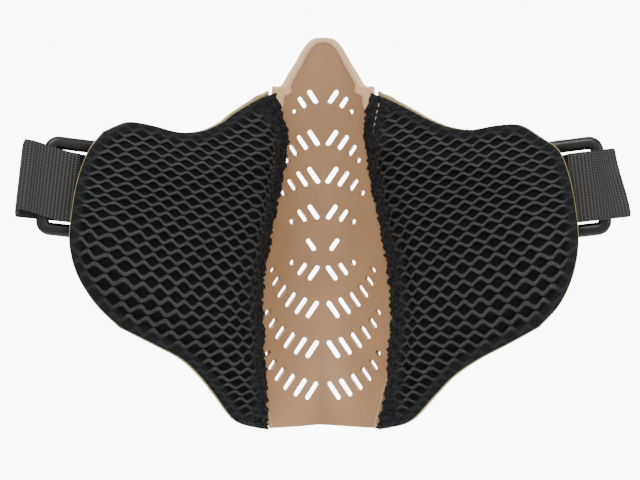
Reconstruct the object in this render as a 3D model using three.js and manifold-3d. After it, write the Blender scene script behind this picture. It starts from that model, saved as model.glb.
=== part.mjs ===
// A half-face mask: a vented nose panel with two fabric cheek wings, each lined with a padded mesh,
// and a webbing strap, stowed in front of each wing, that passes through a plastic loop.
// The origin lies on the middle plane, halfway up and 40 mm behind the deepest point of the nose panel.
// Millimetres. +Z is up, the wearer faces -Y, and +X is the wearer's left.
import * as THREE from "three";
import { mergeVertices } from "three/addons/utils/BufferGeometryUtils.js";
import Module from "manifold-3d";

const wasm = await Module();
wasm.setup();

// ---- Driving dimensions ----
const gap = 0.3; // between solids that touch on the real mask
const panelWall = 2; // moulded wall of the nose panel
const shellWall = 2.2; // camouflage fabric bonded to a stiff sheet
const foamWall = 3; // foam core under the mesh lining
const liningEdge = 1.4; // mesh lining where its rim is pressed flat
const liningCrown = 4.6; // what the lining swells above its rim
const marginWall = 2.4; // lining where it laps over the nose panel

const panelBottom = -71;
const panelTip = 76.6;
const shoulderHeight = 57.4; // where the narrow nose tip meets the wide panel
const shoulderHalfWidth = 17.8;
const tipHalfWidth = 11.5;

const hingeX = 27.5; // the line on which a cheek wing folds
const hingeY = -14;
const wingStart = 33; // a wing's stiff layers begin this far from the middle
const marginEnd = 26.5; // and the lining that is fixed to the panel ends here

const strapWidth = 25;
const strapWall = 1.5;
const strapTilt = THREE.MathUtils.degToRad(6.5); // the strap climbs towards the ears
const loopLean = THREE.MathUtils.degToRad(15); // the loop follows the wing back towards the face
const loopStand = 1; // between the wing and the tab
const loopBar = 5.2; // bar width of the plastic loop
const loopWall = 3.8; // its thickness
const loopClear = 1.2; // between a strap's edge and the loop's end bars
const loopLength = 26; // along the strap
const loopReach = 12.5; // how far the loop's outer bar stands past the wing's edge
const foldReach = 21.5; // how far the strap's fold stands past the wing's edge
const foldGrip = 5.4; // how far the fold reaches inside the loop
const wingEdgeX = 88.5; // the wing's outer edge at the height of the strap
const loopHeight = 18.5; // height of the loop's middle
const tabLength = 11; // sewn part of the webbing tab that holds the loop
const keeperLength = 9;
const keeperWall = 1.6;
const keeperClear = 0.5;
const strapEndX = 36; // where the stowed strap ends, in front of the wing
const strapAir = 3.2; // between the strap and the wing, for the keeper

// ---- The face-side surface that every layer is measured from ----
// Each list is [height, value], from bottom to top.
function alongHeight(list) {
  const heights = list.map((p) => p[0]);
  return (z) => {
    const last = heights.length - 2;
    let i = heights.findIndex((h) => h > z) - 1;
    if (i === -2) i = last;
    i = Math.min(Math.max(i, 0), last);
    const span = heights[i + 1] - heights[i];
    const t = THREE.MathUtils.clamp((z - heights[i]) / span, 0, 1);
    const slope = (k) => {
      const a = Math.max(k - 1, 0);
      const b = Math.min(k + 1, last + 1);
      return ((list[b][1] - list[a][1]) / (heights[b] - heights[a])) * span;
    };
    const [p, q, m, n] = [list[i][1], list[i + 1][1], slope(i), slope(i + 1)];
    const t2 = t * t;
    const t3 = t2 * t;
    return (2 * t3 - 3 * t2 + 1) * p + (t3 - 2 * t2 + t) * m + (3 * t2 - 2 * t3) * q + (t3 - t2) * n;
  };
}

const ridgeDepth = alongHeight([[-74, -25], [-55, -33], [-35, -38], [-10, -40], [15, -39], [40, -34], [60, -27], [80, -17]]);
const creaseHalfWidth = alongHeight([[-74, 24], [-50, 28], [-25, 31], [0, 29.5], [35, 26], [60, 22], [80, 19]]);
const creaseDepth = alongHeight([[-74, -14], [-45, -12], [0, -11], [40, -12], [80, -9]]);
const panelHalfWidth = alongHeight([[-71, 19.3], [-60, 22], [-45, 25.4], [-25, 27.2], [0, 25], [25, 21.5], [45, 19], [57.4, 17.8]]);
const liningInnerEdge = alongHeight([[-72, 20.6], [-55, 22.8], [-38, 24], [-22, 24.6], [-2, 22], [17, 18.4], [32, 15.5], [42, 15], [57, 18.6]]);

const wingRise = 26; // from the crease to the wing's outer edge
const wingSpan = wingEdgeX + 1.5; // the wings level out just past their edges
const wallPower = 2.4; // how squarely the panel's side walls turn up
const wingPower = 1.6;
const jawCurl = 0.0009; // the wings curl towards the face at top and bottom
const creaseRound = 4;

function faceDepth(x, z) {
  const side = Math.abs(x);
  const crease = creaseHalfWidth(z);
  const panel = ridgeDepth(z) + (creaseDepth(z) - ridgeDepth(z)) * (side / crease) ** wallPower;
  const along = (side - crease) / (wingSpan - crease);
  const bow = 1 - Math.sign(1 - along) * Math.abs(1 - along) ** wingPower;
  const wing = creaseDepth(z) + wingRise * bow + jawCurl * (z + 5) ** 2 * Math.max(along, 0);
  const near = Math.max(creaseRound - Math.abs(panel - wing), 0) / creaseRound;
  return Math.min(panel, wing) - (near * near * creaseRound) / 4;
}

// A point that stands off the surface by lift, towards the face.
function onFace(x, z, lift) {
  const step = 0.5;
  const slopeX = (faceDepth(x + step, z) - faceDepth(x - step, z)) / (2 * step);
  const slopeZ = (faceDepth(x, z + step) - faceDepth(x, z - step)) / (2 * step);
  const normal = new THREE.Vector3(-slopeX, 1, -slopeZ).normalize();
  return new THREE.Vector3(x, faceDepth(x, z), z).addScaledVector(normal, lift);
}

// ---- Solids ----
// Shapes a box of many cells: place(u, v, t) gives the point for a share of its width, height and thickness.
function shapedBox(cellsU, cellsV, place) {
  const box = new THREE.BoxGeometry(1, 1, 1, cellsU, cellsV, 1);
  const position = box.getAttribute("position");
  for (let i = 0; i < position.count; i++) {
    const p = place(position.getX(i) + 0.5, position.getY(i) + 0.5, position.getZ(i) + 0.5);
    position.setXYZ(i, p.x, p.y, p.z);
  }
  return faceOut(closed(box));
}

function closed(geometry) {
  const bare = new THREE.BufferGeometry().setAttribute("position", geometry.getAttribute("position"));
  if (geometry.index) bare.setIndex(geometry.index);
  return mergeVertices(bare, 1e-4);
}

function toSolid(geometry) {
  const g = closed(geometry);
  const vertProperties = new Float32Array(g.getAttribute("position").array);
  return new wasm.Manifold(new wasm.Mesh({ numProp: 3, vertProperties, triVerts: new Uint32Array(g.index.array) }));
}

function toGeometry(solid) {
  const mesh = solid.getMesh();
  const g = new THREE.BufferGeometry();
  g.setAttribute("position", new THREE.BufferAttribute(new Float32Array(mesh.vertProperties), 3));
  g.setIndex(new THREE.BufferAttribute(new Uint32Array(mesh.triVerts), 1));
  return g;
}

// Turns a closed geometry's faces outwards if its shaping turned them in.
function faceOut(geometry) {
  const p = geometry.getAttribute("position");
  const index = geometry.index;
  const [a, b, c] = [new THREE.Vector3(), new THREE.Vector3(), new THREE.Vector3()];
  let volume = 0;
  for (let i = 0; i < index.count; i += 3) {
    a.fromBufferAttribute(p, index.getX(i));
    b.fromBufferAttribute(p, index.getX(i + 1));
    c.fromBufferAttribute(p, index.getX(i + 2));
    volume += a.dot(b.cross(c));
  }
  if (volume < 0)
    for (let i = 0; i < index.count; i += 3) {
      const first = index.getX(i);
      index.setX(i, index.getX(i + 1));
      index.setX(i + 1, first);
    }
  return geometry;
}

// The same solid for the wearer's right side.
function mirrored(geometry) {
  const g = geometry.clone();
  g.scale(-1, 1, 1);
  return faceOut(g);
}

// ---- The nose panel ----
function panelOutline() {
  const right = [];
  const steps = 16;
  for (let i = 0; i <= steps; i++) {
    const z = panelBottom + ((shoulderHeight - panelBottom) * i) / steps;
    right.push(new THREE.Vector2(panelHalfWidth(z), z));
  }
  const tip = new THREE.SplineCurve([
    new THREE.Vector2(shoulderHalfWidth - 3, shoulderHeight + 0.6),
    new THREE.Vector2(tipHalfWidth + 1, shoulderHeight + 5),
    new THREE.Vector2(tipHalfWidth - 0.4, panelTip - 10),
    new THREE.Vector2(tipHalfWidth - 3.6, panelTip - 4.2),
    new THREE.Vector2(0, panelTip),
  ]);
  right.push(...tip.getPoints(16));
  const left = right.slice(0, -1).reverse().map((p) => new THREE.Vector2(-p.x, p.y));
  return new THREE.Shape([...right, ...left]);
}

// Slots lie on arcs: the upper rows arch over the nose, the lower rows hang round the mouth.
const slotWidth = 1.9;
const slotLean = THREE.MathUtils.degToRad(56);
const slotRows = [
  { height: 55.4, radius: 12, first: 19, step: 21.5, slots: 3, longest: 6.1, hang: -1 },
  { height: 39.8, radius: 14.3, first: 14.2, step: 18.4, slots: 4, longest: 7.1, hang: -1 },
  { height: 25.4, radius: 18.7, first: 10.8, step: 14, slots: 4, longest: 7.5, hang: -1 },
  { height: 11.2, radius: 18.7, first: 10.9, step: 14, slots: 3, longest: 6.6, hang: -1 },
  { height: -1.3, radius: 20, first: 13, step: 0, slots: 1, longest: 5.4, hang: -1 },
  { height: -13.2, radius: 17.7, first: 11.4, step: 15, slots: 3, longest: 6.6, hang: 1 },
  { height: -27.5, radius: 19.3, first: 12, step: 13.6, slots: 6, longest: 7.6, hang: 1 },
  { height: -42.7, radius: 22, first: 10.6, step: 12.2, slots: 6, longest: 7.9, hang: 1 },
  { height: -58.3, radius: 22.3, first: 10.6, step: 12, slots: 6, longest: 8.1, hang: 1 },
];

function slotCutter(x, z, length, lean) {
  const half = Math.max(length - slotWidth, 0.3) / 2;
  const shape = new THREE.Shape();
  shape.absarc(half, 0, slotWidth / 2, -Math.PI / 2, Math.PI / 2);
  shape.absarc(-half, 0, slotWidth / 2, Math.PI / 2, (3 * Math.PI) / 2);
  const depth = 60;
  const g = new THREE.ExtrudeGeometry(shape, { depth, bevelEnabled: false, curveSegments: 3 });
  g.rotateZ(lean);
  g.rotateX(Math.PI / 2);
  g.translate(x, 0, z);
  return toSolid(g);
}

function ventSlots() {
  const cutters = [];
  for (const row of slotRows)
    for (let k = 0; k < row.slots; k++) {
      const angle = THREE.MathUtils.degToRad(row.first + row.step * k);
      const share = row.slots > 1 ? k / (row.slots - 1) : 0;
      const length = row.longest * Math.cos(share * THREE.MathUtils.degToRad(70));
      const z = row.height + row.hang * row.radius * (1 - Math.cos(angle));
      const x = row.radius * Math.sin(angle);
      cutters.push(slotCutter(x, z, length, -row.hang * slotLean), slotCutter(-x, z, length, row.hang * slotLean));
    }
  return wasm.Manifold.union(cutters);
}

function nosePanel() {
  const reach = panelHalfWidth(-25) + 3;
  const slab = shapedBox(18, 30, (u, v, t) => {
    const x = (2 * u - 1) * reach;
    const z = panelBottom - 4 + (panelTip - panelBottom + 8) * v;
    return onFace(x, z, -panelWall * (1 - t));
  });
  const prism = new THREE.ExtrudeGeometry(panelOutline(), { depth: 120, bevelEnabled: false });
  prism.rotateX(Math.PI / 2);
  prism.translate(0, 60, 0);
  return toGeometry(toSolid(slab).intersect(toSolid(prism)).subtract(ventSlots()));
}

// ---- The cheek wings ----
// The outline runs from the fold's lower end, round the jaw, the ear and the cheekbone, to its upper end.
const outlineReach = 55.5; // as drawn here, from the wing's start to its edge at the strap
const widen = (wingEdgeX - wingStart) / outlineReach;
const wingOutline = new THREE.SplineCurve(
  [
    [wingStart, -66.6], [41, -57], [47.5, -49.5], [56, -43], [66, -37.2], [76.5, -31],
    [83.6, -23], [88.2, -13], [90.2, -2], [89.6, 9], [87.4, 21.5],
    [83.6, 31.6], [78.4, 38.4], [70, 42], [62, 41.2], [53, 39.9], [45, 41.4], [38, 44.6], [wingStart, 47.6],
  ].map(([x, z]) => new THREE.Vector2(wingStart + (x - wingStart) * widen, z)),
);
const lowerCorner = 6 / 18; // shares of the outline at the jaw corner and the cheek corner
const upperCorner = 11 / 18;

// A point of the wing, by its share from fold to ear and from jaw to cheekbone.
function wingPoint(u, v) {
  const lower = wingOutline.getPoint(lowerCorner * u);
  const upper = wingOutline.getPoint(1 - (1 - upperCorner) * u);
  const outer = wingOutline.getPoint(lowerCorner + (upperCorner - lowerCorner) * v);
  const low = wingOutline.getPoint(0);
  const high = wingOutline.getPoint(1);
  const inner = low.clone().lerp(high, v);
  const jaw = wingOutline.getPoint(lowerCorner);
  const cheek = wingOutline.getPoint(upperCorner);
  const mix = (key) =>
    (1 - v) * lower[key] + v * upper[key] + (1 - u) * inner[key] + u * outer[key] -
    ((1 - u) * (1 - v) * low[key] + u * (1 - v) * jaw[key] + (1 - u) * v * high[key] + u * v * cheek[key]);
  return new THREE.Vector2(mix("x"), mix("y"));
}

// A layer of the wing between two heights above the surface; inset draws its edge in.
function wingLayer(bottom, top, inset) {
  const centre = new THREE.Vector2(62, -4);
  return shapedBox(12, 14, (u, v, t) => {
    const p = wingPoint(u, v);
    if (inset) p.lerp(centre, inset / Math.max(p.distanceTo(centre), inset));
    const lift = t < 0.5 ? bottom : typeof top === "function" ? top(u, v) : top;
    return onFace(p.x, p.y, lift);
  });
}

// How far a padded layer has swollen, from 0 at its rim to 1 in its middle.
function swell(u, v) {
  const rise = (s) => THREE.MathUtils.smoothstep(Math.min(s, 1 - s), 0, 0.16);
  return rise(Math.max(u, 0.08)) * rise(v);
}

const foamTop = (u, v) => gap + 0.6 + (foamWall - 0.6) * swell(u, v);
const liningTop = (u, v) => gap + 0.6 + gap + liningEdge + (foamWall - 0.6 + liningCrown) * swell(u, v);
const wingShell = wingLayer(-shellWall, 0, 0);
const foamCore = wingLayer(gap, foamTop, 3);

// The lining rests on the foam with a gap and comes down to the shell round the rim.
const meshLining = shapedBox(12, 14, (u, v, t) => {
  const p = wingPoint(u, v);
  return onFace(p.x, p.y, t < 0.5 ? foamTop(u, v) + gap : liningTop(u, v));
});

// ---- What is fixed to the nose panel beside each wing ----
// A strip between two curves of x over height; ends are the heights where it starts and stops.
function sideStrip(inner, outer, low, high, bottom, top, cellsU) {
  return shapedBox(cellsU, 14, (u, v, t) => {
    const z = THREE.MathUtils.lerp(THREE.MathUtils.lerp(low[0], low[1], u), THREE.MathUtils.lerp(high[0], high[1], u), v);
    const x = THREE.MathUtils.lerp(inner(z), outer(z), u);
    return onFace(x, z, THREE.MathUtils.lerp(bottom, top, t));
  });
}
const liningMargin = sideStrip(liningInnerEdge, () => marginEnd, [-72.2, -70.8], [57, 52], gap, gap + marginWall, 4);
const hingeStrip = sideStrip(() => marginEnd + gap, () => wingStart - gap, [-70.6, -66.9], [51.6, 47.9], gap, gap + marginWall, 3);

// ---- The strap, the loops and the tabs ----
// Everything at a wing's edge is laid out on a frame: s runs outwards along the strap,
// n towards the face and w along the strap's width.
const upperStrap = -0.5; // the strap's face-side layer, just outside the wing
const loopMiddle = upperStrap - strapWall - 0.4 - loopWall / 2;
const innerBar = loopReach - loopLength + loopBar / 2; // centre of the bar that the tab holds
const tabInside = Math.hypot(loopBar / 2, loopWall / 2) + 0.5; // the tab's turn round that bar
const tabWall = 1.2;
const tabLift = loopMiddle + tabInside + tabWall; // the tab's side towards the wing

// The strap's frame stands off a steep wing further, so that the sewn tab clears the wing all along.
const strapTurn = new THREE.Matrix4().makeRotationY(-strapTilt).multiply(new THREE.Matrix4().makeRotationZ(loopLean));
const edgeFront = faceDepth(wingEdgeX, loopHeight) - shellWall - loopStand;
const tabSpots = [0, 0.25, 0.5, 0.75, 1].flatMap((share) => [-0.5, 0, 0.5].map((w) => [share, w]));
const tabCuts = tabSpots.map(([share, w]) => {
  const spot = new THREE.Vector3(-share * (tabLength - innerBar), tabLift, w * strapWidth).applyMatrix4(strapTurn);
  spot.add(new THREE.Vector3(wingEdgeX, edgeFront, loopHeight));
  const wall = shellWall + gap / 2;
  const depth = faceDepth(spot.x, spot.z);
  return spot.y - (depth - wall ** 2 / (depth - onFace(spot.x, spot.z, -wall).y));
});
const wingEdgeDepth = edgeFront - Math.max(0, ...tabCuts);
const strapFrame = new THREE.Matrix4()
  .makeTranslation(wingEdgeX, wingEdgeDepth, loopHeight)
  .multiply(new THREE.Matrix4().makeRotationY(-strapTilt))
  .multiply(new THREE.Matrix4().makeRotationZ(loopLean));

// A closed outline in the s-n plane, drawn out to a width.
function acrossStrap(shape, width) {
  const g = new THREE.ExtrudeGeometry(shape, { depth: width, bevelEnabled: false, curveSegments: 6 });
  g.translate(0, 0, -width / 2);
  g.applyMatrix4(strapFrame);
  return g;
}

// Two straight runs joined by round ends.
function racetrack(path, from, to, middle, radius) {
  path.absarc(to - radius, middle, radius, -Math.PI / 2, Math.PI / 2);
  path.absarc(from + radius, middle, radius, Math.PI / 2, (3 * Math.PI) / 2);
  return path;
}

const turnRadius = loopWall / 2 + 0.4 + strapWall; // outside radius of the strap round the bars

function plasticLoop() {
  const outerHalf = strapWidth / 2 + loopClear + loopBar * 0.8;
  const rounded = (path, s0, s1, half, r) => {
    path.moveTo(s0 + r, -half);
    path.lineTo(s1 - r, -half);
    path.absarc(s1 - r, -half + r, r, -Math.PI / 2, 0);
    path.absarc(s1 - r, half - r, r, 0, Math.PI / 2);
    path.absarc(s0 + r, half - r, r, Math.PI / 2, Math.PI);
    path.absarc(s0 + r, -half + r, r, Math.PI, (3 * Math.PI) / 2);
    return path;
  };
  const [inner, outer] = [loopReach - loopLength, loopReach];
  const frame = rounded(new THREE.Shape(), inner, outer, outerHalf, 4.6);
  frame.holes.push(rounded(new THREE.Path(), inner + loopBar, outer - loopBar, strapWidth / 2 + loopClear, 1.2));
  const round = 0.7;
  const g = new THREE.ExtrudeGeometry(frame, {
    depth: loopWall - 2 * round, bevelThickness: round, bevelSize: round, bevelOffset: -round, bevelSegments: 2, curveSegments: 5,
  });
  g.translate(0, 0, -loopWall / 2 + round);
  g.rotateX(Math.PI / 2);
  g.translate(0, loopMiddle, 0);
  g.applyMatrix4(strapFrame);
  return g;
}

// The strap's end, wrapped round the loop's outer bar and folded past it.
function strapLoop() {
  const inboard = loopReach - loopBar - foldGrip;
  const shape = racetrack(new THREE.Shape(), inboard, foldReach, loopMiddle, turnRadius);
  shape.holes.push(racetrack(new THREE.Path(), inboard + strapWall, foldReach - strapWall, loopMiddle, turnRadius - strapWall));
  return acrossStrap(shape, strapWidth);
}

// The webbing tab: a turn round the loop's inner bar and a flat tail that is sewn to the wing.
function anchorTab() {
  const outside = tabInside + tabWall;
  const shape = new THREE.Shape();
  shape.absarc(innerBar, loopMiddle, outside, -Math.PI * 0.75, Math.PI / 2);
  shape.lineTo(innerBar - tabLength, loopMiddle + outside);
  shape.lineTo(innerBar - tabLength, loopMiddle + outside - tabWall * 2);
  shape.lineTo(innerBar - outside - 0.6, loopMiddle + outside - tabWall * 2);
  shape.closePath();
  const bore = new THREE.Path();
  bore.absarc(innerBar, loopMiddle, tabInside, 0, Math.PI * 2);
  shape.holes.push(bore);
  return acrossStrap(shape, strapWidth - 1);
}

// The strap's way in front of the wing, from its stowed end to the plastic loop.
const runStart = new THREE.Vector3(innerBar - 6.2, loopMiddle - turnRadius, 0).applyMatrix4(strapFrame);
const runHeight = (x) => runStart.z - (runStart.x - x) * Math.tan(strapTilt);
const strapStand = shellWall + strapAir + strapWall / 2;
const endDepths = [-0.5, 0, 0.5].map((w) => onFace(strapEndX, runHeight(strapEndX) + w * strapWidth, -strapStand).y);
const runEnd = new THREE.Vector3(strapEndX, Math.min(...endDepths), runHeight(strapEndX));
const strapPath = new THREE.LineCurve3(runEnd, runStart);

// A flat band between two shares of the strap's way, standing off its middle line by offset.
function strapBand(from, to, cells, width, wall, offset) {
  const across = new THREE.Vector3(-Math.sin(strapTilt), 0, Math.cos(strapTilt));
  const out = new THREE.Vector3().crossVectors(strapPath.getTangentAt(0), across).normalize();
  return shapedBox(cells, 1, (u, v, t) => {
    const share = THREE.MathUtils.lerp(from, to, u);
    const middle = strapPath.getPointAt(share);
    return middle.addScaledVector(across, (v - 0.5) * width).addScaledVector(out, offset + (t - 0.5) * wall);
  });
}

const tailOffset = strapWall + gap; // the strap doubles back on itself
const tailEnd = 0.86; // share of the way that the doubled layer covers

// A keeper that slides on the two layers of the strap.
function strapKeeper() {
  const middle = 0.36;
  const half = keeperLength / 2 / strapPath.getLength();
  const layers = tailOffset + strapWall;
  const sleeve = (width, wall, reach) =>
    toSolid(strapBand(middle - reach, middle + reach, 1, width, wall, tailOffset / 2));
  const inside = sleeve(strapWidth + 2 * keeperClear, layers + 2 * keeperClear, half * 1.5);
  const wide = strapWidth + 2 * (keeperClear + keeperWall);
  return toGeometry(sleeve(wide, layers + 2 * (keeperClear + keeperWall), half).subtract(inside));
}

// ---- The assembly ----
const tan = new THREE.MeshStandardMaterial({ color: 0xb08a63, roughness: 0.55 });
const camouflage = new THREE.MeshStandardMaterial({ color: 0x9a8a66, roughness: 0.9 });
const blackMesh = new THREE.MeshStandardMaterial({ color: 0x24262a, roughness: 0.95 });
const foam = new THREE.MeshStandardMaterial({ color: 0x3a3a3c, roughness: 1 });
const webbing = new THREE.MeshStandardMaterial({ color: 0x4a4b4d, roughness: 0.85 });
const blackPlastic = new THREE.MeshStandardMaterial({ color: 0x2c2d2f, roughness: 0.4 });

const mask = new THREE.Group();

function add(name, geometry, material) {
  const mesh = new THREE.Mesh(geometry, material);
  mesh.name = name;
  mask.add(mesh);
}

function addPair(name, geometry, material) {
  add(`${name}_left`, geometry, material);
  add(`${name}_right`, mirrored(geometry), material);
}

add("nose_panel", nosePanel(), tan);
addPair("wing_shell", wingShell, camouflage);
addPair("foam_core", foamCore, foam);
addPair("mesh_lining", meshLining, blackMesh);
addPair("lining_margin", liningMargin, blackMesh);
addPair("hinge_strip", hingeStrip, blackMesh);
addPair("anchor_tab", closed(anchorTab()), webbing);
addPair("strap_ring", closed(plasticLoop()), blackPlastic);
addPair("strap_loop", closed(strapLoop()), webbing);
addPair("strap_run", strapBand(0, 1, 1, strapWidth, strapWall, 0), webbing);
addPair("strap_tail", strapBand(0, tailEnd, 1, strapWidth, strapWall, tailOffset), webbing);
addPair("strap_keeper", strapKeeper(), blackPlastic);

export default mask;
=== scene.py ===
import bpy, bmesh, math
import numpy as np
from mathutils import Matrix, Vector, noise


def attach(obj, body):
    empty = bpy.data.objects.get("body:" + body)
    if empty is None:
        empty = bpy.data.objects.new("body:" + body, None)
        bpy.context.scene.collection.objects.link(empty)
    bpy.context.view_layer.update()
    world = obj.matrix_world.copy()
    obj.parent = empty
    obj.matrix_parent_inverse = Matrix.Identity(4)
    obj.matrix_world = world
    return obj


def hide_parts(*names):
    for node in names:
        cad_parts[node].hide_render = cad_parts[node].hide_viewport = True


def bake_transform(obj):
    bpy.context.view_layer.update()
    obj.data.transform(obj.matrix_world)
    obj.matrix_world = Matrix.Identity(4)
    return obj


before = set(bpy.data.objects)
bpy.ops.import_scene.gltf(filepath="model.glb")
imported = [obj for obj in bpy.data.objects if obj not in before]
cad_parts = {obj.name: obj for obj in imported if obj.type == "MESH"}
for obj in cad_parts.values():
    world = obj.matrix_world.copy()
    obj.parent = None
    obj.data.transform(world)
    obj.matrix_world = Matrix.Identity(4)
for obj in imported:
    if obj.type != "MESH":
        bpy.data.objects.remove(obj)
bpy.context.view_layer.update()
sides = {"left": 1, "right": -1}
mm = 0.001

# Camera, light and floor.
studio = {
    "cameraPlace": (0.006, 0.562, 0.0), "cameraTurn": 0.47, "lens": 86.6, "nearClip": 0.01,
    "skyStrength": 0.66, "floorDrop": 0.9, "floorHalf": 3,
    "backdropBehind": 1.2, "backdropHalf": 0.62, "backdropGlow": 9.0,
    "lamps": {  # place, power and size
        "keyLight": ((0.25, 0.75, 0.75), 8.5, 0.6),
        "fillLight": ((-0.7, 0.6, 0.2), 3.0, 0.8),
        "frontLight": ((0.2, -0.8, 0.6), 3.0, 0.8),
    },
}


def setStudio():
    cam = bpy.data.objects.new("viewCamera", bpy.data.cameras.new("viewCamera"))
    bpy.context.scene.collection.objects.link(cam)
    cam.location = studio["cameraPlace"]
    turn = math.radians(studio["cameraTurn"])
    cam.rotation_mode = "QUATERNION"
    cam.rotation_quaternion = Vector((-math.sin(turn), -math.cos(turn), 0)).to_track_quat("-Z", "Y")
    cam.data.lens = studio["lens"]
    cam.data.clip_start = studio["nearClip"]
    bpy.context.scene.camera = cam
    world = bpy.data.worlds.new("softRoom")
    world.use_nodes = True
    sky = world.node_tree.nodes["Background"]
    sky.inputs["Color"].default_value = (1, 1, 1, 1)
    sky.inputs["Strength"].default_value = studio["skyStrength"]
    bpy.context.scene.world = world
    for name, (place, power, size) in studio["lamps"].items():
        lamp = bpy.data.objects.new(name, bpy.data.lights.new(name, "AREA"))
        bpy.context.scene.collection.objects.link(lamp)
        lamp.data.energy = power
        lamp.data.size = size
        lamp.location = place
        lamp.rotation_mode = "QUATERNION"
        lamp.rotation_quaternion = (-Vector(place)).to_track_quat("-Z", "Y")


# Shader helper.
class Wire:
    def __init__(self, tree, socket):
        self.tree, self.socket = tree, socket

    def maths(self, kind, other=None):
        node = self.tree.nodes.new("ShaderNodeMath")
        node.operation = kind
        for place, value in enumerate((self, other)):
            if isinstance(value, Wire):
                self.tree.links.new(value.socket, node.inputs[place])
            elif value is not None:
                node.inputs[place].default_value = value
        return Wire(self.tree, node.outputs[0])

    def __add__(self, other):
        return self.maths("ADD", other)

    def __radd__(self, other):
        return self.maths("ADD", other)

    def __sub__(self, other):
        return self.maths("SUBTRACT", other)

    def __rsub__(self, other):
        return (self * -1).maths("ADD", other)

    def __mul__(self, other):
        return self.maths("MULTIPLY", other)

    def __rmul__(self, other):
        return self.maths("MULTIPLY", other)

    def __truediv__(self, other):
        return self.maths("DIVIDE", other)

    def ramp(self, low, high):  # 0 below low, 1 above high, smooth between
        limits = {"Value": self, "From Min": low, "From Max": high}
        return self.node("ShaderNodeMapRange", limits, "Result", interpolation_type="SMOOTHSTEP")

    def node(self, kind, inputs=None, output=0, **settings):
        node = self.tree.nodes.new(kind)
        for key, value in settings.items():
            setattr(node, key, value)
        for key, value in (inputs or {}).items():
            if isinstance(value, Wire):
                self.tree.links.new(value.socket, node.inputs[key])
            else:
                node.inputs[key].default_value = value
        return Wire(self.tree, node.outputs[output])

    def mixColour(self, low, high):
        node = self.tree.nodes.new("ShaderNodeMix")
        node.data_type = "RGBA"
        self.tree.links.new(self.socket, node.inputs["Factor"])
        for socket, value in ((node.inputs[6], low), (node.inputs[7], high)):
            if isinstance(value, Wire):
                self.tree.links.new(value.socket, socket)
            else:
                socket.default_value = (*value, 1)
        return Wire(self.tree, node.outputs[2])


def finish(name, paint, **fixed):
    material = bpy.data.materials.new(name)
    material.use_nodes = True
    tree = material.node_tree
    shader = tree.nodes["Principled BSDF"]
    for key, value in fixed.items():
        shader.inputs[key].default_value = value
    start = Wire(tree, tree.nodes.new("ShaderNodeTexCoord").outputs["Object"])
    for key, wire in paint(start).items():
        if key == "Bump":
            height, strength, distance = wire
            relief = {"Height": height, "Strength": strength, "Distance": distance}
            wire = start.node("ShaderNodeBump", relief, "Normal")
            key = "Normal"
        tree.links.new(wire.socket, shader.inputs[key])
    return material


def attribute(start, name):
    return start.node("ShaderNodeAttribute", {}, "Fac", attribute_name=name)


def axisOf(vector, axis):
    return vector.node("ShaderNodeSeparateXYZ", {"Vector": vector}, axis)


def shifted(vector, offset):  # the same pattern met somewhere else
    return vector.node("ShaderNodeVectorMath", {0: vector, 1: offset}, 0, operation="ADD")


def speckle(start, scale, detail=2.0, rough=0.5, where=None):
    grain = {"Vector": where or start, "Scale": scale, "Detail": detail, "Roughness": rough}
    return start.node("ShaderNodeTexNoise", grain, 0)


# The cheek pads, whose cells the lining material shares.
pad = {
    "columns": 190, "rows": 260, "thickness": 1.5, "crown": 4.0, "foam": 3.2,
    "cellWide": 5.9, "cellTall": 5.35, "cellDepth": 1.3, "rowTilt": 11,
    "strandWave": 0.66, "strandHalf": 0.5, "pressedBand": 3.3, "fuzzBand": 9.0,
    "innerShift": {"left": -1.2, "right": 1.4},  # how far each inner edge stands off the drawn one
}


# Materials.
def mouldedTan(start):
    rim = attribute(start, "rim")
    worn = speckle(start, 55, 4, 0.6)
    grain = speckle(start, 2600, 2)
    base = worn.ramp(0.3, 0.7).mixColour((0.45, 0.255, 0.125), (0.50, 0.285, 0.14))
    # The rim colour is a painted highlight: the raised lip and the cut edge are painted lighter where the
    # moulded edge catches light.
    colour = rim.mixColour(base, (0.98, 0.66, 0.37))
    return {"Base Color": colour, "Roughness": 0.42 + worn * 0.16, "Bump": (grain, 0.08, 0.0004)}


def yarnAway(along, up):  # the shader's copy of strandAway
    wave = (along * (math.tau / pad["cellWide"])).maths("COSINE") * pad["strandWave"]
    even = (((up - wave) / pad["cellTall"] + 40.5).maths("FRACT") - 0.5).maths("ABSOLUTE")
    odd = (((up + wave) / pad["cellTall"] + 40.0).maths("FRACT") - 0.5).maths("ABSOLUTE")
    return even.maths("MINIMUM", odd) * pad["cellTall"]


def spacerYarn(start):
    uv = start.node("ShaderNodeUVMap", {}, 0, uv_map="cloth")
    lint = speckle(start, 700, 3, 0.6)
    fibre = speckle(start, 2300, 3, 0.7)
    along, up = axisOf(uv, 0), axisOf(uv, 1)
    away = yarnAway(along, up) + (lint - 0.5) * 0.25
    half = pad["strandHalf"]
    pressed, fuzz = attribute(start, "pressed"), attribute(start, "fuzz")
    yarn = fibre.ramp(0.3, 0.72).mixColour((0.026, 0.0285, 0.0285), (0.078, 0.083, 0.083))
    # The cells between the strands are painted nearly black: painted shade standing in for the depth of the
    # open holes.
    colour = away.ramp(half * 1.35, half * 0.75).mixColour((0.0012, 0.0015, 0.0018), yarn)
    flat = fibre.mixColour((0.009, 0.010, 0.011), (0.024, 0.026, 0.027))
    # In the pressed band the cells are painted darker as well: painted shade in the shallow holes.
    flat = (away.ramp(half * 0.8, half * 1.5) * 0.6).mixColour(flat, (0.004, 0.0045, 0.005))
    colour = (pressed * 0.9).mixColour(colour, flat)
    wool = (fibre * 0.55 + lint * 0.45).ramp(0.42, 0.66)
    wool = wool.mixColour((0.0015, 0.002, 0.003), (0.045, 0.048, 0.052))
    colour = fuzz.mixColour(colour, wool)
    return {"Base Color": colour, "Roughness": 0.74 + fibre * 0.22, "Bump": (fibre + lint * 0.7, 0.5, 0.0006)}


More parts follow.
